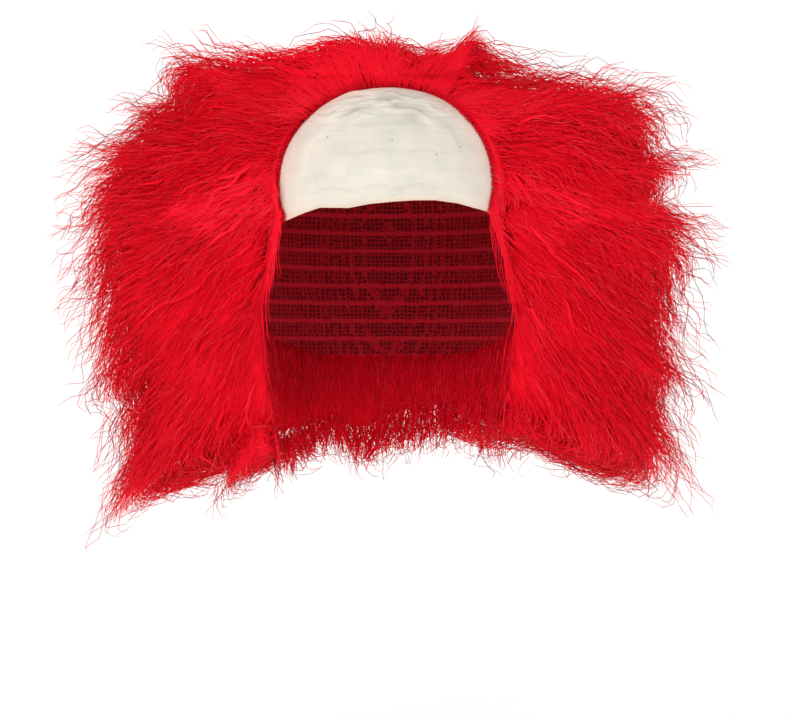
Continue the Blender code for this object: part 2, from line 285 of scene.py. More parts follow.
def hair_edge(up):
    """How far back the front of the hair is beside the face. Below the temples it hangs straight down."""
    backs = np.concatenate((HAIRLINE[:, 0], TEMPLE_EDGE[:3, 0])) * HEAD_HALF_LENGTH - HAIR_OVERHANG
    heights = np.concatenate((HAIRLINE[:, 1] * CROWN_HEIGHT, -TEMPLE_EDGE[:3, 1] * CAP_SIDE_DROP))
    return np.interp(up, heights[::-1], backs[::-1])


def smooth_outline(steps):
    """The outline as a smooth curve through its corners, in metres, evenly spaced along it."""
    corners = OUTLINE * [HAIR_HALF_WIDTH, HAIR_RISE]
    corners[:, 1] = np.where(OUTLINE[:, 1] > 0, corners[:, 1], OUTLINE[:, 1] * HAIR_DROP)
    padded = np.vstack((corners[0], corners, corners[-1]))
    place = np.linspace(0, len(corners) - 1, steps)
    row = np.minimum(place.astype(int), len(corners) - 2)
    t = (place - row)[:, None]
    a, b, c, d = (padded[row + step] for step in range(4))
    square = 2 * a - 5 * b + 4 * c - d
    cube = 3 * b - a - 3 * c + d
    return 0.5 * (2 * b + (c - a) * t + square * t ** 2 + cube * t ** 3)


OUTLINE_STEPS = 600
OUTLINE_CURVE = smooth_outline(OUTLINE_STEPS)
OUTLINE_BANK = np.arctan2(OUTLINE_CURVE[:, 0], OUTLINE_CURVE[:, 1])
OUTLINE_REACH = np.hypot(OUTLINE_CURVE[:, 0], OUTLINE_CURVE[:, 1])
print("outline from", OUTLINE_CURVE.min(0).round(3), "to", OUTLINE_CURVE.max(0).round(3))

# %% [markdown]
# The hair is a rounded body round that outline. Every point of it has a bank, the angle from straight up, a
# depth, the turn towards the back, and a reach, which is 1 on the outline. The first function goes from
# these three to a point. The second goes back: it halves an interval until it has found the reach of each
# point, which tells what is inside the hair and what is outside.

# %% The body of the hair
REACH_LIMITS = (0.02, 3.0)
REACH_HALVINGS = 22


def hair_point(bank, depth, reach):
    """Points at a reach of the hair, as an array with one row each."""
    flat = np.interp(bank, OUTLINE_BANK, OUTLINE_REACH)
    flat_x = flat * np.sin(bank)
    flat_z = flat * np.cos(bank)
    shrink = np.maximum(np.cos(depth), 0.0)
    side = flat_x * shrink ** SIDE_ROUNDNESS
    up = flat_z * shrink ** np.where(flat_z > 0, SIDE_ROUNDNESS, HANG_ROUNDNESS)
    back = np.where(depth > 0, HAIR_BACK, HAIR_FRONT) * np.sin(depth)
    return np.stack((side, back, up), axis=-1) * np.asarray(reach)[..., None]


def reach_of(points):
    """The reach of each point, found by halving an interval."""
    low, high = (np.full(points.shape[:-1], limit) for limit in REACH_LIMITS)
    span = np.where(points[..., 1] > 0, HAIR_BACK, HAIR_FRONT)
    hang = np.where(points[..., 2] > 0, SIDE_ROUNDNESS, HANG_ROUNDNESS)
    for _ in range(REACH_HALVINGS):
        middle = (low + high) / 2
        turn = np.clip(points[..., 1] / (span * middle), -0.9999, 0.9999)
        shrink = np.sqrt(1 - turn ** 2)
        side = points[..., 0] / (middle * shrink ** SIDE_ROUNDNESS)
        up = points[..., 2] / (middle * shrink ** hang)
        outside = np.hypot(side, up) > np.interp(np.arctan2(side, up), OUTLINE_BANK, OUTLINE_REACH)
        outside |= np.abs(points[..., 1]) > span * middle
        low = np.where(outside, middle, low)
        high = np.where(outside, high, middle)
    return (low + high) / 2


print("reach of the outline's top", reach_of(hair_point(np.zeros(1), np.zeros(1), np.ones(1))).round(3))

# %% [markdown]
# Hair grows neither into the face nor into the head. Two helpers move points out of them. A third brings
# the hair beside the face forwards to the cap's edge, where a valley would show the net. The last ones give
# the direction straight out of an ellipsoid, which a strand lies square to.

# %% Clear of the face and of the head
FACE_FLARE = 2.2
LEDGE_SETBACK = 0.008
LEDGE_SLOPE = 0.6
LEDGE_START = 0.7
LEAST_SHARE = 0.05


def half_sizes(width, length, height):
    """The half sizes of an ellipsoid, one row for each point."""
    return np.stack(np.broadcast_arrays(width, length, height), axis=-1)


def straight_out(points, sizes):
    """The direction straight out of an ellipsoid of these half sizes, at each point."""
    out = points / sizes ** 2
    return out / np.linalg.norm(out, axis=-1, keepdims=True)


def outward_at(points):
    """The direction straight out of the hair's body at each point."""
    span = np.where(points[..., 1] > 0, HAIR_BACK, HAIR_FRONT)
    rise = np.where(points[..., 2] > 0, HAIR_RISE, HAIR_DROP)
    return straight_out(points, half_sizes(HAIR_HALF_WIDTH, span, rise))


def clear_of_face(points, clearance):
    """Points in front of the cap's edge go back to it, or out beside it, where hair may swell forwards."""
    edge = hair_edge(points[..., 2]) - clearance
    near = HEAD_HALF_WIDTH + CAP_OUTSIDE + clearance
    room = np.maximum(np.abs(points[..., 0]) - near, 0.0) / FACE_FLARE
    points[..., 1] = np.maximum(points[..., 1], edge - room)
    return points


def swell_beside_face(points, lift):
    """Brings what is in front, beside the cap, forwards to the cap's edge, so that no valley is left."""
    side = np.abs(points[..., 0])
    slope = np.maximum(side - HEAD_HALF_WIDTH, 0) * LEDGE_SLOPE
    level = hair_edge(points[..., 2]) + LEDGE_SETBACK - lift + slope
    beside = (points[..., 1] < 0) & (side > LEDGE_START * HEAD_HALF_WIDTH)
    points[..., 1] = np.where(beside, np.minimum(points[..., 1], level), points[..., 1])
    return points


def clear_of_head(points, clearance):
    """Points inside the head go out to the cap's outside, and under its ring they go straight sideways."""
    height = np.where(points[..., 2] > 0, CROWN_HEIGHT, HEAD_TAPER) + clearance
    share = points / half_sizes(HEAD_HALF_WIDTH + clearance, HEAD_HALF_LENGTH + clearance, height)
    inside = np.sqrt((share ** 2).sum(-1))
    ring = np.hypot(share[..., 0], share[..., 1])
    wall = np.sqrt(np.maximum(1 - share[..., 2] ** 2, 0))
    grow = np.where(inside < 1, 1 / np.maximum(inside, LEAST_SHARE), 1.0)
    widen = np.where(ring < wall, wall / np.maximum(ring, LEAST_SHARE), 1.0)
    below = points[..., 2] <= 0
    points[..., :2] *= np.where(below, widen, grow)[..., None]
    points[..., 2] *= np.where(below, 1.0, grow)
    return points


print("the head's top moves out to", clear_of_head(np.array([[0.0, 0.0, 0.01]]), CAP_OUTSIDE)[0].round(4))

# %% [markdown]
# Teased hair never ends in a smooth line. A second table gives the reach at which the hair stops being
# opaque, tuft by tuft, as the picture has it from the front. Behind the ears the tufts are made up from a
# few waves of the same size.

# %% Tufts
# bank is in degrees from straight up, to the viewer's right, and reach is a share of the outline's
TUFTS = np.array((
    # bank, reach
    (-165, 0.78), (-158, 0.90), (-153, 0.78), (-149, 0.90), (-146, 0.78), (-140, 0.82), (-137, 1.00),
    (-132, 0.90), (-127, 0.90), (-124, 0.86), (-120, 0.98), (-77, 0.97), (-72, 0.91), (-67, 0.94),
    (-60, 0.84), (-52, 1.04), (-46, 1.00), (-37, 0.96), (-30, 0.93), (-22, 0.97), (-11, 1.07), (3, 1.05),
    (9, 0.95), (14, 0.99), (19, 0.99), (25, 1.09), (30, 0.90), (40, 0.87), (57, 0.88), (64, 0.94), (69, 0.92),
    (75, 0.85), (80, 0.94), (85, 0.83), (91, 0.94), (97, 0.94), (104, 0.88), (113, 0.88), (119, 0.93),
    (123, 0.86), (130, 0.95), (134, 0.92), (137, 0.84), (147, 0.70), (165, 0.72),
))

# behind the ears: turns round the bank, turns along the depth, phase, height as a share of the reach
TUFT_WAVES = ((11, 5, 0.0, 0.035), (19, -9, 1.3, 0.030))
TUFT_MEAN = 0.88
FRONT_DEPTH = 0.35
BLEND_DEPTH = 0.45


def tuft_reach(bank, depth):
    """The reach of the opaque hair: the table seen from the front, and waves behind."""
    front = np.interp(np.degrees(bank), TUFTS[:, 0], TUFTS[:, 1])
    waves = TUFT_MEAN
    for turns, rows, phase, height in TUFT_WAVES:
        waves = waves + height * np.sin(turns * bank + rows * depth + phase)
    share = np.clip((np.abs(depth) - FRONT_DEPTH) / BLEND_DEPTH, 0, 1)
    return front + (waves - front) * share * share * (3 - 2 * share)


def bank_and_depth(points):
    """The bank and the depth of points, from their reach."""
    reach = reach_of(points)
    span = np.where(points[..., 1] > 0, HAIR_BACK, HAIR_FRONT)
    depth = np.arcsin(np.clip(points[..., 1] / (span * reach), -0.999, 0.999))
    hang = np.where(points[..., 2] > 0, SIDE_ROUNDNESS, HANG_ROUNDNESS)
    side = points[..., 0] / np.cos(depth) ** SIDE_ROUNDNESS
    up = points[..., 2] / np.cos(depth) ** hang
    return np.arctan2(side, up), depth, reach


print("mean tuft reach", TUFTS[:, 1].mean().round(3))

# %% [markdown]
# Meshes are changed in two ways here: with operators and modifiers, and by moving all of a mesh's points at
# once as one array. These helpers add a sphere, read and write the points, and apply the modifiers.

# %% Small mesh helpers


def add_sphere(name, segments, rings):
    bpy.ops.object.select_all(action="DESELECT")
    bpy.ops.mesh.primitive_uv_sphere_add(segments=segments, ring_count=rings, radius=1)
    made = bpy.context.object
    made.name = name
    return made


def points_of(piece):
    points = np.empty(len(piece.data.vertices) * 3)
    piece.data.vertices.foreach_get("co", points)
    return points.reshape(-1, 3)


def move_points(piece, points):
    piece.data.vertices.foreach_set("co", points.astype(np.float32).ravel())
    piece.data.update()


def apply_modifiers(piece):
    bpy.ops.object.select_all(action="DESELECT")
    piece.select_set(True)
    bpy.context.view_layer.objects.active = piece
    for modifier in list(piece.modifiers):
        bpy.ops.object.modifier_apply(modifier=modifier.name)


# %% [markdown]
# ## The bald pate
#
# The real pate is a skin of latex, cast over a smooth form, so it fits the head closely. It starts as a
# flat grid. Code bends each column of the grid over the head, from the front rim back to the seam under the
# net cap, and adds the soft folds where the latex has crept together on the crown. A Solidify modifier
# gives the wall, thinner at the rim.

# %% The pate's folds
# side is a share of the head's half width, up is in millimetres
RIM_LINE = np.array((
    # side, up
    (-1.00, -5.6), (-0.74, -4.9), (-0.60, -1.0), (-0.49, 1.5), (-0.28, 0.9), (-0.13, 3.0), (0.05, 4.3),
    (0.18, 5.0), (0.34, 5.3), (0.50, 3.9), (0.60, 1.8), (0.70, 0.2), (0.78, -2.0), (1.00, -2.6),
))
# in millimetres: how high a fold of height 1 stands, how far a fold wanders, and over what length
FOLD_HEIGHT = 1.9
FOLD_WANDER = 1.2
FOLD_WANDER_RUN = 4.0
FOLD_NARROWING = 0.8
# soft swellings between the folds: height in millimetres, size sideways and upwards, and where they are full
SWELL_HEIGHT = 0.25
SWELL_ACROSS = 0.017
SWELL_UP = 0.013
SWELL_FULL = 0.06
# in millimetres: a fold runs from side to side at this height, tilted in degrees, and is high or sunken
FOLDS = np.array((
    # side, up, half length, half width, tilt, height
    (-12, 71.0, 16, 1.5, 6, 0.55), (6, 70.0, 14, 1.3, -8, -0.50), (-4, 66.5, 18, 1.6, 2, -0.60),
    (14, 66.0, 15, 1.5, -14, 0.60), (-20, 65.0, 14, 1.7, 16, 0.50), (-6, 62.5, 10, 2.0, 10, 0.95),
    (9, 61.0, 13, 1.6, -24, -0.60), (-14, 59.5, 14, 1.5, 14, -0.50), (26, 60.0, 13, 1.7, -26, 0.32),
    (-29, 58.0, 12, 1.8, 28, 0.30), (0, 58.0, 9, 1.5, -4, 0.35), (18, 55.0, 12, 1.9, -30, 0.40),
    (-12, 55.0, 9, 2.2, 30, 0.35), (-38, 45.0, 13, 2.6, 55, 0.20), (37, 44.0, 12, 2.6, -52, -0.20),
    (-47, 30.0, 14, 3.0, 74, 0.15), (0, 33.0, 36, 1.4, 1, -0.16), (10, 21.0, 42, 1.3, -2, 0.14),
    (-8, 12.0, 38, 1.3, 2, -0.16), (20, 7.0, 24, 1.2, 5, 0.14),
))


def fold_relief(side, up):
    """How far the latex stands out, in metres, at places seen from the front."""
    relief = SWELL_HEIGHT * np.sin(side / SWELL_ACROSS + 1.0) * np.sin(up / SWELL_UP)
    relief *= np.clip(up / SWELL_FULL, 0, 1)
    for place, level, half_length, half_width, tilt, height in FOLDS:
        turn = math.radians(tilt)
        across = (side / MM - place) * math.cos(turn) + (up / MM - level) * math.sin(turn)
        off = (up / MM - level) * math.cos(turn) - (side / MM - place) * math.sin(turn)
        off += FOLD_WANDER * np.sin(across / FOLD_WANDER_RUN + place)
        off /= half_width
        relief += FOLD_HEIGHT * height * np.exp(-(across / half_length) ** 4 - (off / FOLD_NARROWING) ** 2)
    return relief * MM


print(len(FOLDS), "folds in the latex")

# %% [markdown]
# Each column of the grid is a turn to the side, and its rows run back over the head from the rim. Where a
# column ends is found by halving: it goes a little way past the cap's front edge, so that the seam has a
# lap. The surface also stores how near each point is to that edge and to the rim, and how high its fold is,
# for the material to read.

# %% The pate's skin
LATEX_WALL = 0.0012
PATE_COLUMNS = 130
PATE_ROWS = 84
PATE_HALF_TURN = 57.0
PATE_BACK_TURN = 112.0
PATE_HALVINGS = 24
SEAM_LAP = 0.012
SEAM_FADE = 0.004
# the rim stands off the head at one place: how far, how far to the side, half its length and its height
PEEL_LIFT = 0.0016
PEEL_SIDE = 0.050
PEEL_HALF_LENGTH = 0.010
PEEL_HEIGHT = 0.005
# over this run from the hair's edge the painted pink reflection of the red hair fades out
HAIR_REFLECTION_RUN = 0.012
RIM_BLUSH_RUN = 0.0016
RIM_THINNESS = 0.35
RIM_THICKENING_RUN = 0.010


def section(side_turn, turn):
    """A point of the head's surface: side_turn goes round to the side, turn goes up from the front."""
    out = np.cos(side_turn)
    height = np.where(turn < 0, HEAD_TAPER, CROWN_HEIGHT)
    across = HEAD_HALF_WIDTH * np.sin(side_turn)
    return np.stack((across, -HEAD_HALF_LENGTH * out * np.cos(turn), height * out * np.sin(turn)), axis=-1)


def pate_skin():
    bpy.ops.object.select_all(action="DESELECT")
    bpy.ops.mesh.primitive_grid_add(x_subdivisions=PATE_COLUMNS, y_subdivisions=PATE_ROWS, size=2)
    skin = bpy.context.object
    skin.name = "latex_skin"
    flat = points_of(skin)
    side_turn = np.radians(PATE_HALF_TURN) * flat[:, 0]
    rim_up = np.interp(np.sin(side_turn), RIM_LINE[:, 0], RIM_LINE[:, 1]) * MM
    height = np.where(rim_up < 0, HEAD_TAPER, CROWN_HEIGHT)
    rim_turn = np.arcsin(rim_up / (height * np.cos(side_turn)))
    low = rim_turn.copy()
    high = np.full_like(low, math.radians(PATE_BACK_TURN))
    for _ in range(PATE_HALVINGS):
        middle = (low + high) / 2
        place = section(side_turn, middle)
        behind = place[:, 1] > front_edge(place[:, 2]) + SEAM_LAP
        high = np.where(behind, middle, high)
        low = np.where(behind, low, middle)
    share = (flat[:, 1] + 1) / 2
    points = section(side_turn, rim_turn + (high - rim_turn) * share)
    height = np.where(points[:, 2] < 0, HEAD_TAPER, CROWN_HEIGHT)
    normal = straight_out(points, half_sizes(HEAD_HALF_WIDTH, HEAD_HALF_LENGTH, height))
    under_cap = np.clip((points[:, 1] - front_edge(points[:, 2]) + SEAM_FADE) / SEAM_FADE, 0, 1)
    above_rim = points[:, 2] - rim_up
    relief = fold_relief(points[:, 0], points[:, 2]) * (1 - under_cap)
    along_rim = (points[:, 0] - PEEL_SIDE) / PEEL_HALF_LENGTH
    peel = PEEL_LIFT * np.exp(-along_rim ** 2 - (above_rim / PEEL_HEIGHT) ** 2)
    points += normal * (LATEX_WALL + relief + peel)[:, None]
    move_points(skin, points)
    # nearness to the hair's edge, which carries the painted pink reflection of the red hair
    edge = np.exp(-np.maximum(front_edge(points[:, 2]) - points[:, 1], 0) / HAIR_REFLECTION_RUN)
    rim = np.exp(-above_rim / RIM_BLUSH_RUN)
    # the fold's height also drives a painted shade, darker the lower the fold lies
    for name, values in (("edge", edge), ("rim", rim), ("fold", relief / MM)):
        layer = skin.data.attributes.new(name, "FLOAT", "POINT")
        layer.data.foreach_set("value", values.astype(np.float32))
    walls = skin.vertex_groups.new(name="wall")
    weights = np.clip(RIM_THINNESS + above_rim / RIM_THICKENING_RUN, RIM_THINNESS, 1.0)
    for number, weight in enumerate(weights):
        walls.add([number], float(weight), "REPLACE")
    solid = skin.modifiers.new("wall", "SOLIDIFY")
    solid.thickness = LATEX_WALL
    solid.offset = -1
    solid.vertex_group = "wall"
    apply_modifiers(skin)
    bpy.ops.object.shade_smooth_by_angle(angle=math.radians(50))
    skin.data.calc_loop_triangles()
    return skin


latex_skin = pate_skin()
print("latex skin:", len(latex_skin.data.loop_triangles), "triangles")

# %% [markdown]
# ## Latex
#
# Slush-cast latex is a creamy white with a satin surface. Light goes a little way into it, so thin places
# take a warm tint, and the paint that was sponged on leaves pale green-grey clouds, each about 13 mm across.
# Near the hair's edge a painted pink reflection of the red hair is mixed in. A few specks of dust have stuck
# to it, under 1 mm each and about 13 mm apart. On the crown the skin has crept into fine lines about 5 mm
# apart, which run from side to side, so their noise is squeezed upwards. The lines and the sunken folds get
# a painted shade, the lines darker towards the top. Finer creases, 2 mm apart, only show in the highlights.

# %% Latex material
# cells in a metre, sideways and upwards
CLOUDS = 75.0
SPECKS = 75.0
LINE_BENDS = 45.0
LINES = (26.0, 26.0, 210.0)
CREASES = (18.0, 18.0, 520.0)
LINE_BEND = 0.007


def latex_material():
    made, tree, shader = new_material("slush_cast_latex", 0.46)
    shader.inputs["IOR"].default_value = 1.52
    shader.inputs["Specular IOR Level"].default_value = 0.35
    shader.inputs["Subsurface Weight"].default_value = 0.05
    shader.inputs["Subsurface Radius"].default_value = (1.0, 0.5, 0.3)
    shader.inputs["Subsurface Scale"].default_value = 2.0 * MM
    place = add_node(tree, "ShaderNodeTexCoord")
    clouds = add_node(
        tree, "ShaderNodeTexNoise", values={"Scale": CLOUDS, "Detail": 5.0, "Roughness": 0.65},
        links={"Vector": place.outputs["Object"]},
    )
    sponged = add_node(
        tree, "ShaderNodeValToRGB", links={"Fac": clouds.outputs["Fac"]},
        stops=((0.28, "#D6D6C8"), (0.45, "#E2DDCF"), (0.60, "#E8E1D2"), (0.78, "#EDE4D6")),
    )
    # painted pink reflection of the red hair, strongest at the hair's edge
    edge = add_node(tree, "ShaderNodeAttribute", {"attribute_name": "edge"})
    hair_reflection_share = add_node(
        tree, "ShaderNodeMath", {"operation": "MULTIPLY"}, {1: 0.75}, {0: edge.outputs["Fac"]},
    )
    reflected_pink = add_node(
        tree, "ShaderNodeMix", {"data_type": "RGBA"}, {"B": linear("#F0CFC2")},
        {"Factor": hair_reflection_share.outputs[0], "A": sponged.outputs["Color"]},
    )
    rim = add_node(tree, "ShaderNodeAttribute", {"attribute_name": "rim"})
    thin = add_node(
        tree, "ShaderNodeMath", {"operation": "MULTIPLY"}, {1: 0.6}, {0: rim.outputs["Fac"]},
    )
    rimmed = add_node(
        tree, "ShaderNodeMix", {"data_type": "RGBA"}, {"B": linear("#E9BD9C")},
        {"Factor": thin.outputs[0], "A": reflected_pink.outputs["Result"]},
    )
    dust = add_node(
        tree, "ShaderNodeTexVoronoi", values={"Scale": SPECKS}, links={"Vector": place.outputs["Object"]},
    )
    speck = add_node(
        tree, "ShaderNodeValToRGB", links={"Fac": dust.outputs["Distance"]},
        stops=((0.030, "#6E6A5E"), (0.055, "#FFFFFF")),
    )
    dusty = add_node(
        tree, "ShaderNodeMix", {"data_type": "RGBA", "blend_type": "MULTIPLY"}, {"Factor": 0.8},
        {"A": rimmed.outputs["Result"], "B": speck.outputs["Color"]},
    )
    bent = add_node(
        tree, "ShaderNodeTexNoise", values={"Scale": LINE_BENDS, "Detail": 1.0},
        links={"Vector": place.outputs["Object"]},
    )
    pinched = add_node(
        tree, "ShaderNodeVectorMath", {"operation": "MULTIPLY_ADD"}, {1: (LINE_BEND, LINE_BEND, LINE_BEND)},
        {0: bent.outputs["Color"], 2: place.outputs["Object"]},
    )
    narrow = add_node(
        tree, "ShaderNodeMapping", values={"Scale": LINES}, links={"Vector": pinched.outputs[0]},
    )
    crept = add_node(
        tree, "ShaderNodeTexNoise", values={"Scale": 1.0, "Detail": 1.0}, links={"Vector": narrow.outputs[0]},
    )
    off = add_node(tree, "ShaderNodeMath", {"operation": "SUBTRACT"}, {1: 0.5}, {0: crept.outputs["Fac"]})
    away = add_node(tree, "ShaderNodeMath", {"operation": "ABSOLUTE"}, links={0: off.outputs[0]})
    parts = add_node(tree, "ShaderNodeSeparateXYZ", links={"Vector": place.outputs["Object"]})
    # painted shade: the crept lines are darkened, more towards the top of the crown, and sunken folds are
    # darkened too
    crown = add_node(
        tree, "ShaderNodeMapRange", {"interpolation_type": "SMOOTHSTEP"},
        {"From Min": 0.034, "From Max": 0.064, "To Min": 0.985, "To Max": 0.86},
        {"Value": parts.outputs["Z"]},
    )
    wrinkle_shade = add_node(
        tree, "ShaderNodeMapRange", {"interpolation_type": "SMOOTHSTEP"},
        {"From Min": 0.0, "From Max": 0.075},
        {"Value": away.outputs[0], "To Min": crown.outputs["Result"]},
    )
    fold = add_node(tree, "ShaderNodeAttribute", {"attribute_name": "fold"})
    fold_shade = add_node(
        tree, "ShaderNodeMapRange", {"interpolation_type": "SMOOTHSTEP"},
        {"From Min": -1.0, "From Max": 0.4, "To Min": 0.70, "To Max": 1.0}, {"Value": fold.outputs["Fac"]},
    )
    shade = add_node(
        tree, "ShaderNodeMath", {"operation": "MULTIPLY"},
        links={0: fold_shade.outputs[0], 1: wrinkle_shade.outputs[0]},
    )
    painted = add_node(
        tree, "ShaderNodeMix", {"data_type": "RGBA", "blend_type": "MULTIPLY"}, {"Factor": 1.0},
        {"A": dusty.outputs["Result"], "B": shade.outputs[0]},
    )
    tree.links.new(painted.outputs["Result"], shader.inputs["Base Color"])
    stretch = add_node(
        tree, "ShaderNodeMapping", values={"Scale": CREASES}, links={"Vector": place.outputs["Object"]},
    )
    creases = add_node(
        tree, "ShaderNodeTexNoise", values={"Scale": 1.0, "Detail": 3.0},
        links={"Vector": stretch.outputs[0]},
    )
    relief = add_node(
        tree, "ShaderNodeMath", {"operation": "MULTIPLY_ADD"}, {1: 4.0},
        {0: wrinkle_shade.outputs["Result"], 2: creases.outputs["Fac"]},
    )
    bump = add_node(
        tree, "ShaderNodeBump", values={"Strength": 0.5, "Distance": 0.0006},
        links={"Height": relief.outputs[0]},
    )
    tree.links.new(bump.outputs["Normal"], shader.inputs["Normal"])
    return made


latex_skin.data.materials.append(latex_material())
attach(latex_skin, "root")
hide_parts("latex_pate")
print("the pate is dressed")

# %% [markdown]
# ## The net cap
#
# The hair is sewn in rows to a cap of stretch net. It shows at the open face, from the inside. The solid is
# already right, so it only gets its cloth. Knitted polyester net is matt, with dark holes between brighter
# threads. The real holes are about 1 mm and are drawn at 2.6 mm, so that they show. A brighter stitched row
# comes every 11 mm.

# %% Net material
NET_HOLE = 0.0026
STITCH_ROWS = 0.011
# a wave texture of scale 1 has this many bands in a metre
BANDS = 3.1831


def net_material():
    made, tree, shader = new_material("knitted_stretch_net", 0.85)
    shader.inputs["Specular IOR Level"].default_value = 0.15
    place = add_node(tree, "ShaderNodeTexCoord")
    cells = add_node(
        tree, "ShaderNodeTexVoronoi", {"feature": "DISTANCE_TO_EDGE"},
        {"Scale": 1 / NET_HOLE, "Randomness": 0.35}, {"Vector": place.outputs["Object"]},
    )
    thread = add_node(
        tree, "ShaderNodeValToRGB", links={"Fac": cells.outputs["Distance"]},
        stops=((0.06, "#B01222"), (0.20, "#56060E")),
    )
    rows = add_node(
        tree, "ShaderNodeTexWave", {"bands_direction": "Z"},
        {"Scale": 1 / STITCH_ROWS / BANDS, "Distortion": 0.6, "Detail": 2.0, "Detail Scale": 6.0},
        {"Vector": place.outputs["Object"]},
    )
    seams = add_node(
        tree, "ShaderNodeValToRGB", links={"Fac": rows.outputs["Fac"]},
        stops=((0.82, "#000000"), (0.94, "#FFFFFF")),
    )
    cloth = add_node(
        tree, "ShaderNodeMix", {"data_type": "RGBA"}, {"B": linear("#C0182A")},
        {"Factor": seams.outputs["Color"], "A": thread.outputs["Color"]},
    )
    tree.links.new(cloth.outputs["Result"], shader.inputs["Base Color"])
    bump = add_node(
        tree, "ShaderNodeBump", {"invert": True}, {"Strength": 0.5, "Distance": 0.0006},
        {"Height": cells.outputs["Distance"]},
    )
    tree.links.new(bump.outputs["Normal"], shader.inputs["Normal"])
    return made


net = net_material()
for solid in [piece for piece in bpy.data.objects if piece.name.startswith("sewn_cap")]:
    solid.data.materials.clear()
    solid.data.materials.append(net)
    print(solid.name, "is net")

# %% [markdown]
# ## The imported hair
#
# Deep inside, teased fibre is so dense that it reads as one soft body. It starts as a sphere, whose points
# move out to the body of the hair with a few soft lumps. A head form is then cut out of it with a Boolean,
# and a fine voxel remesh rounds what the cut left sharp.

# %% Packed hair under the strands
LUMPS = (
    # turns round the bank, turns along the depth, phase, height as a share of the reach
    (5, 2, 0.4, 0.018), (9, 4, 1.9, 0.014), (15, 7, 3.1, 0.010), (23, 5, 0.9, 0.008),
)
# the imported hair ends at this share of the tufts' reach in front, and a little further out behind
BODY_SHARE = 0.90
BACK_SHARE = 0.95
BACK_RUN = 0.9
TUFT_BLUR = 0.07
FACE_CUT = 0.003
HEAD_CUT = CAP_OUTSIDE - 0.001
VOXEL = 0.0045


def head_form(name, clearance):
    """The head that the hair is cut away from, a little larger than the outside of the net cap."""
    form = add_sphere(name, 96, 64)
    ball = points_of(form)
    sizes = np.array((HEAD_HALF_WIDTH, HEAD_HALF_LENGTH, CROWN_HEIGHT)) + clearance
    ball[:, 2] = np.where(ball[:, 2] < 0, ball[:, 2] * HEAD_TAPER / CROWN_HEIGHT, ball[:, 2])
    move_points(form, ball * sizes)
    return form


def pack_hair():
    body = add_sphere("packed_hair", 128, 96)
    ball = points_of(body)
    depth = np.arcsin(np.clip(ball[:, 1], -1, 1))
    bank = np.arctan2(ball[:, 0], ball[:, 2])
    share = BODY_SHARE + (BACK_SHARE - BODY_SHARE) * np.clip(depth / BACK_RUN, 0, 1)
    reach = share * sum(tuft_reach(bank + step, depth) for step in (-TUFT_BLUR, 0.0, TUFT_BLUR)) / 3
    for turns, rows, phase, height in LUMPS:
        reach += height * np.sin(turns * bank + phase) * np.cos(rows * depth + 2 * phase)
    points = hair_point(bank, depth, reach)
    move_points(body, clear_of_face(swell_beside_face(points, 0.0), -FACE_CUT))
    head = head_form("head_form", HEAD_CUT)
    for name in ("knit", "soften"):
        remesh = body.modifiers.new(name, "REMESH")
        remesh.mode = "VOXEL"
        remesh.voxel_size = VOXEL
        if name == "knit":
            cut = body.modifiers.new("head", "BOOLEAN")
            cut.operation = "DIFFERENCE"
            cut.object = head
    relax = body.modifiers.new("relax", "SMOOTH")
    relax.factor = 0.5
    relax.iterations = 4
    apply_modifiers(body)
    bpy.data.objects.remove(head, do_unlink=True)
    body.data.shade_smooth()
    return body


packed_hair = pack_hair()
packed_hair.data.calc_loop_triangles()
print("packed hair:", len(packed_hair.data.loop_triangles), "triangles")

# %% [markdown]
# ## Strands as meshes
#
# Each strand is a closed tube that tapers to a point, with three sides for a single fibre and four for a
# flat lock. There are thousands of them, so they aren't added one by one: their centre lines are rows of
# one array, and a whole layer becomes one joined mesh. Every point also keeps its strand's tone and its
# reach, and a UV map runs along the strand in metres, for the material to read.

# %% Tubes from an array
# keeps a division by a length from failing where the length is nothing
TINY = 1e-12


def along_strands(lines):
    """How far each point of each strand is from its root."""
    step = np.linalg.norm(np.diff(lines, axis=1), axis=-1)
    return np.concatenate((np.zeros((len(lines), 1)), np.cumsum(step, axis=1)), axis=1)


def unit(vectors):
    """The same directions with a length of 1."""
    return vectors / (np.linalg.norm(vectors, axis=-1, keepdims=True) + TINY)


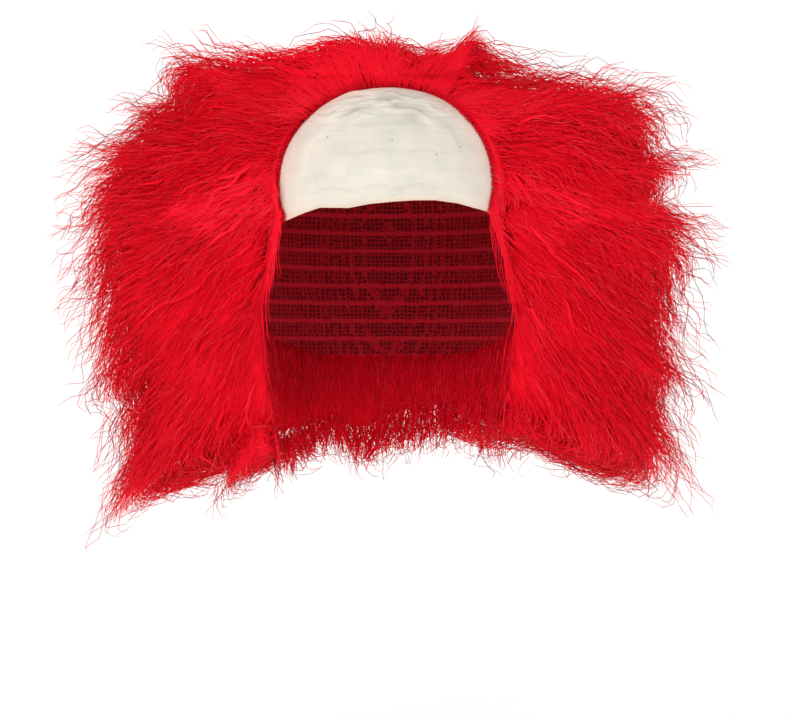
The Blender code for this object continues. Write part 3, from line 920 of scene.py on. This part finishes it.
def tube_layer(name, lines, widths, thicknesses, tones, sides):
    """One joined mesh of closed tapered tubes along lines, an array of (strand, ring, xyz)."""
    count, rings = lines.shape[:2]
    tangent = unit(np.gradient(lines, axis=1))
    across = unit(np.cross(tangent, outward_at(lines)))
    proud = np.cross(across, tangent)
    turn = np.arange(sides) * 2 * math.pi / sides
    body = lines[:, :-1, None, :]
    half_wide = widths[:, :-1, None, None] / 2 * np.cos(turn)[None, None, :, None]
    half_thick = thicknesses[:, :-1, None, None] / 2 * np.sin(turn)[None, None, :, None]
    skin = body + across[:, :-1, None, :] * half_wide + proud[:, :-1, None, :] * half_thick
    points = np.concatenate((skin.reshape(count, -1, 3), lines[:, -1:]), axis=1)
    per_strand = points.shape[1]

    corner = np.arange(sides)
    following = (corner + 1) % sides
    faces = []
    for ring in range(rings - 2):
        here, there = ring * sides, (ring + 1) * sides
        faces.append(np.stack((here + corner, there + corner, there + following), axis=1))
        faces.append(np.stack((here + corner, there + following, here + following), axis=1))
    last = (rings - 2) * sides
    faces.append(np.stack((last + corner, np.full(sides, per_strand - 1), last + following), axis=1))
    inner = np.arange(1, sides - 1)
    faces.append(np.stack((np.zeros_like(inner), inner, inner + 1), axis=1))
    one = np.concatenate(faces)[:, ::-1]
    triangles = (one[None] + (np.arange(count) * per_strand)[:, None, None]).reshape(-1, 3)

    mesh = bpy.data.meshes.new(name)
    mesh.vertices.add(count * per_strand)
    mesh.vertices.foreach_set("co", points.astype(np.float32).ravel())
    mesh.loops.add(triangles.size)
    mesh.loops.foreach_set("vertex_index", triangles.astype(np.int32).ravel())
    mesh.polygons.add(len(triangles))
    mesh.polygons.foreach_set("loop_start", np.arange(0, triangles.size, 3, dtype=np.int32))
    mesh.update(calc_edges=True)
    mesh.shade_smooth()
    reach = np.repeat(np.minimum(reach_of(lines), 2.0), sides, axis=1)[:, :per_strand - 1]
    reach = np.concatenate((reach, reach[:, -1:]), axis=1)
    for attribute, values in (("tone", np.repeat(tones, per_strand)), ("reach", reach.ravel())):
        layer = mesh.attributes.new(attribute, "FLOAT", "POINT")
        layer.data.foreach_set("value", values.astype(np.float32))
    run = along_strands(lines)
    along = np.concatenate((np.repeat(run[:, :-1], sides, axis=1), run[:, -1:]), axis=1)
    side = np.broadcast_to(widths[:, :-1, None] / 2 * np.cos(turn), (count, rings - 1, sides))
    side = np.concatenate((side.reshape(count, -1), np.zeros((count, 1))), axis=1) + tones[:, None]
    uv = np.stack((side.ravel(), along.ravel()), axis=1)[triangles.ravel()]
    mesh.uv_layers.new(name="fibre").data.foreach_set("uv", uv.astype(np.float32).ravel())
    made = bpy.data.objects.new(name, mesh)
    bpy.context.scene.collection.objects.link(made)
    print(name, "has", count, "tubes and", len(triangles), "triangles")
    return made


# %% [markdown]
# ## The way of each strand
#
# The hair is combed out from the pate and then falls. So at every place there is one direction: away from a
# point under the pate, pulled down a little, and flat on the body of the hair. A strand starts at a place
# and takes short steps in that direction. After each step it goes in or out to the reach that it should
# have there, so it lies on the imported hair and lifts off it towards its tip.

# %% Combing
PATE_MIDDLE = np.array((0.0, -0.010, 0.038))
PULL_DOWN = 0.22
PULL_MORE = 3.5
# a step goes at least this share of its length along the hair, and in or out by no more than these factors
LEAST_ADVANCE = 0.35
REACH_STEPS = (0.7, 1.4)
# a strand is straight over this length at its root, and then sways once in this length
FRIZZ_START = 0.012
SWAY_LENGTHS = (0.018, 0.050)
CROSSING = 1.6
CROSSING_BANK = 0.35
BACK_LIFT = 0.085
BACK_LIFT_DEPTH = 0.6


def combed_way(here):
    """The direction in which the hair is combed at each point, and the direction straight out."""
    outward = outward_at(here)
    flow = here - PATE_MIDDLE
    flow /= np.linalg.norm(flow, axis=-1, keepdims=True)
    flow[:, 2] -= PULL_DOWN + PULL_MORE * np.maximum(-here[:, 2], 0)
    flow -= outward * (flow * outward).sum(-1, keepdims=True)
    return flow / (np.linalg.norm(flow, axis=-1, keepdims=True) + 1e-9), outward


def comb(start_points, lengths, goal_share, rings, veer, ease):
    """Lines from start_points to goal_share of the tufts' reach, as an array of (strand, ring, xyz)."""
    first_reach = reach_of(start_points)
    lines = [start_points]
    step = lengths / (rings - 1)
    for ring in range(1, rings):
        here = lines[-1]
        flow, outward = combed_way(here)
        flow = flow * np.cos(veer)[:, None] + np.cross(outward, flow) * np.sin(veer)[:, None]
        bank, depth, own = bank_and_depth(here)
        share = (ring / (rings - 1)) ** ease
        goal = first_reach + (tuft_reach(bank, depth) * goal_share - first_reach) * share
        rise = (goal - own) * np.linalg.norm(here, axis=-1) / own
        along = np.sqrt(np.maximum(step ** 2 - rise ** 2, (LEAST_ADVANCE * step) ** 2))
        there = here + flow * along[:, None]
        lines.append(there * np.clip(goal / reach_of(there), *REACH_STEPS)[:, None])
    return np.stack(lines, axis=1)


def add_frizz(rng, lines, sway, crimp):
    """Slow sways and sharp crimps, which grow from nothing at the root."""
    count, rings = lines.shape[:2]
    tangent = unit(np.gradient(lines, axis=1))
    first = unit(np.cross(tangent, rng.normal(size=(count, 1, 3))))
    second = np.cross(tangent, first)
    run = along_strands(lines)
    grow = np.minimum(run / FRIZZ_START, 1.0)
    for axis, share in ((first, 1.0), (second, 0.7)):
        wave = rng.uniform(*SWAY_LENGTHS, (count, 1))
        phase = rng.uniform(0, 2 * math.pi, (count, 1))
        swing = np.sin(2 * math.pi * run / wave + phase) * rng.uniform(0.3, 1.0, (count, 1)) * sway
        kink = rng.uniform(-1, 1, (count, rings)) * crimp
        lines = lines + axis * (share * grow * (swing + kink))[..., None]
    return lines


def keep_clear(lines, clearance):
    """Keeps strands out of the head and out of the opening for the face."""
    lines = clear_of_face(swell_beside_face(lines, 0.003), clearance)
    return clear_of_head(lines, CAP_OUTSIDE + clearance)


def taper(rings, tip):
    """A strand's width along its length: a quick swell at the root and a long run to a fine tip."""
    t = np.linspace(0, 1, rings)
    return np.minimum(0.45 + t * 2.2, 1.0) * (1 - (1 - tip) * np.clip((t - 0.4) / 0.6, 0, 1) ** 1.3)


def cross_parting(veer, bank):
    """Turns strands more freely where they stand straight up, so that they cross and leave no parting."""
    return veer * (1 + CROSSING * np.exp(-(bank / CROSSING_BANK) ** 2))


def back_lift(depth):
    """Behind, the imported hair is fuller, so the strands there start and end this much further out."""
    return BACK_LIFT * np.clip(depth / BACK_LIFT_DEPTH, 0, 1)


print("a fibre's width along its length", taper(5, 0.4).round(2))

# %% [markdown]
# Roots are spread evenly over a part of the hair. More places are drawn than are needed, and those that
# would lie in the face are left out. One place in eight behind the ears goes to the nape, which the even
# spread would miss.

# %% Places for the roots
DRAWS = 4
NAPE_SHARE = 0.12
NAPE_DEPTH = 0.5
NAPE_BANK = 2.75
# a root may be this far inside the face or the head, and further beside the head, where the hair is thick
MOST_MOVE = 0.004
MOST_MOVE_BESIDE = 0.080


def scatter(rng, count, low_depth, high_depth, low_bank, high_bank):
    """Banks and depths spread evenly over a part of the hair, and none in front of the cap's edge."""
    turn = rng.uniform(math.sin(math.radians(low_depth)), math.sin(math.radians(high_depth)), count * DRAWS)
    shares = np.linspace(0, 1, len(OUTLINE_BANK))
    low, high = np.interp(np.radians((low_bank, high_bank)), OUTLINE_BANK, shares)
    along = rng.uniform(low, high, count * DRAWS)
    bank = np.interp(along, shares, OUTLINE_BANK)
    depth = np.arcsin(turn)
    nape = (depth > NAPE_DEPTH) & (rng.uniform(size=count * DRAWS) < NAPE_SHARE)
    nape_bank = np.sign(low_bank + high_bank + along - 0.5) * rng.uniform(NAPE_BANK, math.pi, count * DRAWS)
    bank = np.where(nape, nape_bank, bank)
    place = hair_point(bank, depth, BODY_SHARE * tuft_reach(bank, depth))
    clear = clear_of_head(clear_of_face(place.copy(), 0.0), CAP_OUTSIDE)
    moved = np.linalg.norm(clear - place, axis=-1)
    beside = (np.abs(place[:, 0]) > HEAD_HALF_WIDTH) & (moved < MOST_MOVE_BESIDE)
    kept = np.flatnonzero((moved < MOST_MOVE) | beside)[:count]
    return bank[kept], depth[kept]


# %% [markdown]
# ## Locks
#
# Teased hair clings together in flat locks, up to 3 mm wide and 1 mm thick. They give the surface its
# ridges and its ragged edge, and the fibres on them are drawn by the material. In each layer of strands the
# roots start at a share of the tufts' reach, and the tips end at a larger one.

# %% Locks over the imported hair
LOCK_COUNT = 640
LOCK_RINGS = 9
LOCK_SIDES = 4
LOCK_WIDTH = 0.0028
LOCK_THICKNESS = 0.0010


def comb_locks():
    rng = np.random.default_rng(11)
    bank, depth = scatter(rng, LOCK_COUNT, -68, 88, -165, 165)
    lift = back_lift(depth)
    root_share = rng.uniform(0.84, 0.88, LOCK_COUNT) + lift
    begin = hair_point(bank, depth, tuft_reach(bank, depth) * root_share)
    length = rng.uniform(0.035, 0.085, LOCK_COUNT)
    goal = rng.uniform(0.89, 1.02, LOCK_COUNT) + lift
    lines = comb(begin, length, goal, LOCK_RINGS, rng.normal(0, 0.16, LOCK_COUNT), 1.2)
    lines = keep_clear(add_frizz(rng, lines, 0.0022, 0.0003), 0.0015)
    shape = taper(LOCK_RINGS, 0.10)[None] * rng.uniform(0.5, 1.2, (LOCK_COUNT, 1))
    tones = rng.uniform(0.0, 0.6, LOCK_COUNT)
    return tube_layer("locks", lines, shape * LOCK_WIDTH, shape * LOCK_THICKNESS, tones, LOCK_SIDES)


locks = comb_locks()

# %% [markdown]
# ## Fibres
#
# Single fibres lie over the locks and carry the highlights. Real ones are under 0.1 mm thick, and these are
# 0.3 to 0.6 mm, so that the picture shows them and the mesh stays small. Behind, where nothing is seen
# close by, they are thicker, and on the crown, where the hair is dense, their tones get a painted shade.

# %% Fibres over the locks
REGIONS = (
    # piece, fibres, rings, thickness, brightness (below 1 a painted shade), then the part: low depth, high
    # depth, low bank, high bank
    ("fibres_left", 2600, 9, 1.0, 1.0, (-70, -22, -165, -26)),
    ("fibres_right", 2600, 9, 1.0, 1.0, (-70, -22, 26, 165)),
    ("fibres_side_left", 1500, 9, 1.0, 1.0, (-22, 24, -165, -26)),
    ("fibres_side_right", 1500, 9, 1.0, 1.0, (-22, 24, 26, 165)),
    ("fibres_crown", 1500, 9, 1.0, 0.6, (-50, 24, -26, 26)),
    ("fibres_back_left", 2500, 7, 1.35, 1.0, (24, 90, -165, 0)),
    ("fibres_back_right", 2500, 7, 1.35, 1.0, (24, 90, 0, 165)),
)
FIBRE_SIDES = 3
fibre_rng = np.random.default_rng(23)


def comb_fibres(rng, name, count, rings, thickness, brightness, part):
    bank, depth = scatter(rng, count, *part)
    lift = back_lift(depth)
    root_share = rng.uniform(0.84, 0.93, count) + lift
    begin = hair_point(bank, depth, tuft_reach(bank, depth) * root_share)
    length = rng.uniform(0.030, 0.065, count)
    goal = rng.uniform(0.93, 1.06, count) + lift
    lines = comb(begin, length, goal, rings, cross_parting(rng.normal(0, 0.20, count), bank), 1.1)
    lines = keep_clear(add_frizz(rng, lines, 0.0018, 0.0010), 0.001)
    width = taper(rings, 0.4)[None] * rng.uniform(0.32, 0.60, (count, 1)) * MM * thickness
    return tube_layer(name, lines, width, width, rng.uniform(0, 0.9, count) * brightness, FIBRE_SIDES)


fibre_pieces = [comb_fibres(fibre_rng, *region) for region in REGIONS]

# %% [markdown]
# Along the front the fibres are sewn to the very edge of the cap, next to the pate. On the crown they stand
# up from it in short tufts, and at the sides they go straight back into the mass. Their roots are placed by
# bank along the edge, more of them at the top, a little in front of it, and up to 5 mm in front where the
# hair laps over the pate's right side. A fibre that would cross the opening for the face is left out.

# %% Fibres along the hairline
HAIRLINE_COUNT = 2300
HAIRLINE_RINGS = 9
HAIRLINE_BANK = 2.0
HAIRLINE_CROWDING = 1.3
RIGHT_LAP = 0.005


def comb_hairline(rng):
    count = HAIRLINE_COUNT
    spread = rng.uniform(-1, 1, count)
    bank = HAIRLINE_BANK * np.sign(spread) * np.abs(spread) ** HAIRLINE_CROWDING
    low_height = CAP_SIDE_DROP / -math.cos(HAIRLINE_BANK)
    up = np.where(np.abs(bank) < math.pi / 2, CROWN_HEIGHT, low_height) * np.cos(bank)
    forward = np.where(np.abs(bank) < 0.8, 0.0030, 0.0012)
    back = front_edge(up) + rng.uniform(-1.0, 0.25, count) * forward
    back -= RIGHT_LAP * np.clip((bank - 0.3) / 0.5, 0, 1) * (up > 0)
    height = np.where(up > 0, CROWN_HEIGHT, HEAD_TAPER)
    up = np.minimum(up, CROWN_HEIGHT * np.sqrt(1 - (back / HEAD_HALF_LENGTH) ** 2) - 1e-5)
    across = np.sqrt(np.maximum(1 - (back / HEAD_HALF_LENGTH) ** 2 - (up / height) ** 2, 0.0))
    roots = np.stack((HEAD_HALF_WIDTH * across * np.sign(bank), back, up), axis=-1)
    normal = straight_out(roots, half_sizes(HEAD_HALF_WIDTH, HEAD_HALF_LENGTH, height))
    roots += normal * rng.uniform(0.10, 0.60, (count, 1)) * CAP_OUTSIDE
    roots[:, 0] += rng.uniform(-0.005, 0.005, count) * (np.abs(bank) < 0.2)
    crown = np.clip(1.4 - np.abs(bank), 0, 1)
    temple = np.clip((np.abs(bank) - 1.45) / 0.4, 0, 1)
    length = rng.uniform(0.020, 0.055, count) * (1 - 0.30 * crown + 0.8 * temple)
    goal = rng.uniform(0.90, 1.02, count)
    lines = comb(roots, length, goal, HAIRLINE_RINGS, cross_parting(rng.normal(0, 0.3, count), bank), 0.8)
    lines = keep_clear(add_frizz(rng, lines, 0.0016, 0.0008), 0.001)
    lines[:, 0] = roots
    into_face = np.abs(lines[..., 0]) < np.abs(roots[:, None, 0]) - 0.002
    kept = ~((into_face | (lines[..., 1] < roots[:, None, 1] - 0.012)).any(1) & (roots[:, 2] < 0.030))
    width = taper(HAIRLINE_RINGS, 0.4)[None] * rng.uniform(0.4, 0.7, (count, 1)) * MM
    # the tones darken at the crown, a painted shade, and at the temples
    tones = rng.uniform(0, 0.9, count) * (1 - 0.4 * np.maximum(crown, temple))
    return tube_layer("fibres_hairline", lines[kept], width[kept], width[kept], tones[kept], FIBRE_SIDES)


fibre_pieces.append(comb_hairline(fibre_rng))

# %% [markdown]
# Round the nape and behind the ears the fibres hang straight down from the cap's lower edge. They close the
# hair on its inside, where it would touch the neck. The lower edge is given at four places, by how far back
# each is.

# %% Fibres at the nape
NAPE_COUNT = 1200
NAPE_RINGS = 8
NAPE_TURN = 1.75
# back, up
LOWER_EDGE = np.array(((-0.02, -0.052), (0.15 * HEAD_HALF_LENGTH, -0.066), (0.078, -0.081), (0.150, -0.086)))


def comb_nape(rng):
    turn = rng.uniform(-NAPE_TURN, NAPE_TURN, NAPE_COUNT)
    edge = np.interp(HEAD_HALF_LENGTH * np.cos(turn), *LOWER_EDGE.T)
    top = edge + rng.uniform(-0.004, 0.008, NAPE_COUNT)
    fall = np.linspace(0, 1, NAPE_RINGS)[None] * rng.uniform(0.025, 0.070, (NAPE_COUNT, 1))
    up = top[:, None] - fall
    ring = np.sqrt(1 - (up / HEAD_TAPER) ** 2)
    off = rng.uniform(0.0006, 0.0028, (NAPE_COUNT, 1)) + fall * 0.03
    turn = turn[:, None] + fall * rng.normal(0, 3.0, (NAPE_COUNT, 1))
    across = (HEAD_HALF_WIDTH + off) * ring * np.sin(turn)
    lines = np.stack((across, (HEAD_HALF_LENGTH + off) * ring * np.cos(turn), up), axis=-1)
    lines = clear_of_head(add_frizz(rng, lines, 0.0014, 0.0006), 0.0006)
    width = taper(NAPE_RINGS, 0.4)[None] * rng.uniform(0.4, 0.7, (NAPE_COUNT, 1)) * MM
    return tube_layer("fibres_nape", lines, width, width, rng.uniform(0, 0.8, NAPE_COUNT), FIBRE_SIDES)


fibre_pieces.append(comb_nape(fibre_rng))

# %% [markdown]
# ## Wisps
#
# The longest fibres leave the mass altogether, and make the edge of the hair see-through. Each is about
# half a millimetre thick, crimped all along, and darker than the rest, because it stands against the light.

# %% Wisps round the edge
WISP_COUNT = 1700
WISP_RINGS = 11


def comb_wisps(rng):
    bank, depth = scatter(rng, WISP_COUNT, -30, 75, -165, 165)
    lift = back_lift(depth)
    root_share = rng.uniform(0.86, 0.96, WISP_COUNT) + lift
    begin = hair_point(bank, depth, tuft_reach(bank, depth) * root_share)
    goal = rng.uniform(1.02, 1.16, WISP_COUNT) + np.where(bank > 0.8, 0.02, 0.0) + lift / 2
    length = rng.uniform(0.030, 0.070, WISP_COUNT)
    lines = comb(begin, length, goal, WISP_RINGS, rng.normal(0, 0.5, WISP_COUNT), 1.0)
    lines = keep_clear(add_frizz(rng, lines, 0.0052, 0.0014), 0.001)
    width = taper(WISP_RINGS, 0.6)[None] * rng.uniform(0.38, 0.56, (WISP_COUNT, 1)) * MM
    return tube_layer("wisps", lines, width, width, rng.uniform(-0.9, 0.3, WISP_COUNT), FIBRE_SIDES)


fibre_pieces.append(comb_wisps(fibre_rng))

# %% [markdown]
# ## The hair's finish
#
# Wig fibre is extruded modacrylic, dyed through. Teasing roughens it, so it shines softly and not in sharp
# lines. Each strand has its own random tone, from a painted shade, the dark red of a fibre in shade, to a
# painted pink highlight, and fine streaks along it stand for the fibres in a lock and for painted glints on
# their crimp. They are drawn 0.6 mm wide and 7 mm long, because the real ones are too fine to show. Deeper in
# the mass a painted shade makes the colour a little darker.

# %% Fibre material
STREAK_WIDTH = 0.0006
STREAK_LENGTH = 0.007


def hair_material():
    made, tree, shader = new_material("teased_synthetic_fibre", 0.5)
    shader.inputs["Specular IOR Level"].default_value = 0.12
    tone = add_node(tree, "ShaderNodeAttribute", {"attribute_name": "tone"})
    reach = add_node(tree, "ShaderNodeAttribute", {"attribute_name": "reach"})
    fibre = add_node(tree, "ShaderNodeUVMap", {"uv_map": "fibre"})
    scale = add_node(
        tree, "ShaderNodeMapping", values={"Scale": (1 / STREAK_WIDTH, 1 / STREAK_LENGTH, 1)},
        links={"Vector": fibre.outputs[0]},
    )
    streak = add_node(
        tree, "ShaderNodeTexNoise", values={"Scale": 1.0, "Detail": 2.0},
        links={"Vector": scale.outputs[0]},
    )
    mixed = add_node(
        tree, "ShaderNodeMath", {"operation": "MULTIPLY_ADD"},
        {1: 0.45}, {0: tone.outputs["Fac"], 2: streak.outputs["Fac"]},
    )
    # tone and streaks run from a painted shade through the fibre's reds to a painted pink highlight
    tones_shade_and_glints = add_node(
        tree, "ShaderNodeValToRGB", links={"Fac": mixed.outputs[0]},
        stops=((0.05, "#6E0814"), (0.32, "#EC001A"), (0.60, "#FC0024"), (0.88, "#FF1630"), (1.0, "#FF4654")),
    )
    # painted shade: points deeper in the mass, at a lower reach, are darkened
    depth_shade = add_node(
        tree, "ShaderNodeMapRange", {"interpolation_type": "SMOOTHSTEP"},
        {"From Min": 0.55, "From Max": 0.85, "To Min": 0.82, "To Max": 1.0},
        {"Value": reach.outputs["Fac"]},
    )
    shade = add_node(
        tree, "ShaderNodeMix", {"data_type": "RGBA", "blend_type": "MULTIPLY"},
        {"Factor": 1.0}, {"A": tones_shade_and_glints.outputs["Color"], "B": depth_shade.outputs["Result"]},
    )
    tree.links.new(shade.outputs["Result"], shader.inputs["Base Color"])
    bump = add_node(
        tree, "ShaderNodeBump", values={"Strength": 0.6, "Distance": 0.0004},
        links={"Height": streak.outputs["Fac"]},
    )
    tree.links.new(bump.outputs["Normal"], shader.inputs["Normal"])
    return made


hair_finish = hair_material()
for hair_piece in (locks, *fibre_pieces):
    hair_piece.data.materials.append(hair_finish)
print(hair_finish.name, "is on", len(fibre_pieces) + 1, "pieces")

# %% [markdown]
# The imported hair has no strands, so its material draws streaks that run the way the hair is combed. Each
# point goes back against the comb until it is over the pate. Where it ends there says which streak it lies
# in, and how far it went says how far along. The streaks are drawn 0.5 mm wide and 12 mm long, from a dark
# red to the fibres' own.

# %% Packed hair material
PACKED_STREAK_WIDTH = 0.0005
PACKED_STREAK_LENGTH = 0.012
COMB_START = 0.04
COMB_START_UP = 0.055
COMB_STEP = 0.003
COMB_STEPS = 110


def mark_combing(piece):
    """Goes back against the comb from each point, and stores which way that led and how far it was."""
    here = points_of(piece)
    run = np.zeros(len(here))
    for _ in range(COMB_STEPS):
        far = np.hypot(here[:, 0], here[:, 2] - COMB_START_UP) > COMB_START
        here -= combed_way(here)[0] * (COMB_STEP * far)[:, None]
        run += COMB_STEP * far
    way = here[:, (0, 2)] - (0, COMB_START_UP)
    way *= COMB_START / np.maximum(np.linalg.norm(way, axis=-1, keepdims=True), 1e-6)
    layer = piece.data.attributes.new("combed", "FLOAT_VECTOR", "POINT")
    layer.data.foreach_set("vector", np.column_stack((way, run)).astype(np.float32).ravel())
    print("combed over", run.max().round(3), "m")


def packed_material():
    made, tree, shader = new_material("packed_synthetic_fibre", 0.6)
    shader.inputs["Specular IOR Level"].default_value = 0.08
    combed = add_node(tree, "ShaderNodeAttribute", {"attribute_name": "combed"})
    scale = add_node(
        tree, "ShaderNodeMapping",
        values={"Scale": (1 / PACKED_STREAK_WIDTH, 1 / PACKED_STREAK_WIDTH, 1 / PACKED_STREAK_LENGTH)},
        links={"Vector": combed.outputs["Vector"]},
    )
    streak = add_node(
        tree, "ShaderNodeTexNoise", values={"Scale": 1.0, "Detail": 7.0, "Roughness": 0.75},
        links={"Vector": scale.outputs[0]},
    )
    tints = add_node(
        tree, "ShaderNodeValToRGB", links={"Fac": streak.outputs["Fac"]},
        stops=((0.36, "#C40012"), (0.50, "#F0001C"), (0.64, "#FF142C")),
    )
    tree.links.new(tints.outputs["Color"], shader.inputs["Base Color"])
    bump = add_node(
        tree, "ShaderNodeBump", values={"Strength": 0.8, "Distance": 0.0009},
        links={"Height": streak.outputs["Fac"]},
    )
    tree.links.new(bump.outputs["Normal"], shader.inputs["Normal"])
    return made


mark_combing(packed_hair)
packed_hair.data.materials.append(packed_material())

# %% [markdown]
# Last, every hair piece rides on the wig's body, and the imported hair stands for the four plain solids. The
# dressed wig has to stay close to the solids' size.

# %% Finish
for hair_piece in (packed_hair, locks, *fibre_pieces):
    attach(hair_piece, "root")
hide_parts("hair_crown", "hair_left", "hair_right", "hair_back")
